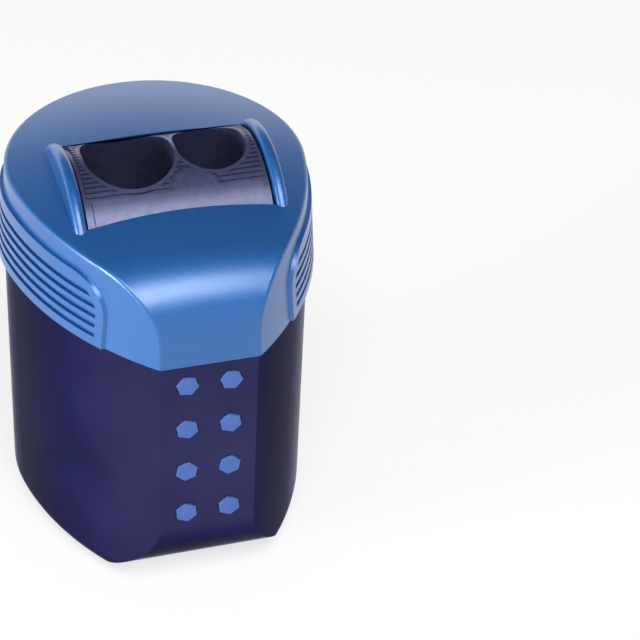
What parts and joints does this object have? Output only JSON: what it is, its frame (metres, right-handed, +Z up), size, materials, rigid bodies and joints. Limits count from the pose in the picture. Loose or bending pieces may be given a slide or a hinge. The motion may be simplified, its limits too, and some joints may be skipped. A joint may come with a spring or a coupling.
{
  "type": "pencil sharpener",
  "caption": "Hand-held pencil sharpener: shavings container, side-grip lid with a turning shutter over large and small pencil holes, and a slide-out sharpener cassette with press release.",
  "frame": {"origin": "centre of the bounding box at the base of the container", "axes": "+Z up, -Y out of the flat front face, +X to the right seen from the front"},
  "size_m": [0.051, 0.0602, 0.0682],
  "materials": {
    "navy_gloss": "gloss",
    "pad_blue": "matte",
    "pearl_blue": "pearl satin",
    "navy_satin": "satin",
    "black_satin": "satin",
    "blade_steel": "ground",
    "steel": "satin"
  },
  "bodies": {
    "container_body": {"container": "navy_gloss", "grip_pad_1": "pad_blue", "grip_pad_2": "pad_blue", "grip_pad_3": "pad_blue", "grip_pad_4": "pad_blue", "grip_pad_5": "pad_blue", "grip_pad_6": "pad_blue", "grip_pad_7": "pad_blue", "grip_pad_8": "pad_blue"},
    "lid_body": {"lid_shell": "pearl_blue", "carrier": "black_satin", "carrier_screw_left": "steel", "carrier_screw_right": "steel", "latch_plate": "black_satin"},
    "shutter_body": {"shutter_drum": "navy_satin"},
    "latch_body": {"press_tab": "black_satin"},
    "cassette_body": {"cassette_frame": "black_satin", "large_sharpener": "black_satin", "small_sharpener": "black_satin", "large_blade": "blade_steel", "small_blade": "blade_steel", "large_blade_screw": "steel", "small_blade_screw": "steel"}
  },
  "joints": [
    {"name": "lid_lift", "type": "slide", "parent": "container_body", "child": "lid_body", "axis": [0, 0, 1], "range_m": [0, 0.048]},
    {"name": "shutter_turn", "type": "hinge", "parent": "lid_body", "child": "shutter_body", "pos_m": [0, -0.001, 0.0524], "axis": [-1, 0, 0], "range_deg": [0, 74]},
    {"name": "tab_press", "type": "hinge", "parent": "lid_body", "child": "latch_body", "pos_m": [0, 0.02065, 0.031], "axis": [-1, 0, 0], "range_deg": [0, 6], "stiffness_Nm_per_rad": 0.05},
    {"name": "cassette_drop", "type": "slide", "parent": "lid_body", "child": "cassette_body", "axis": [0, 0, -1], "range_m": [0, 0.0024]}
  ]
}
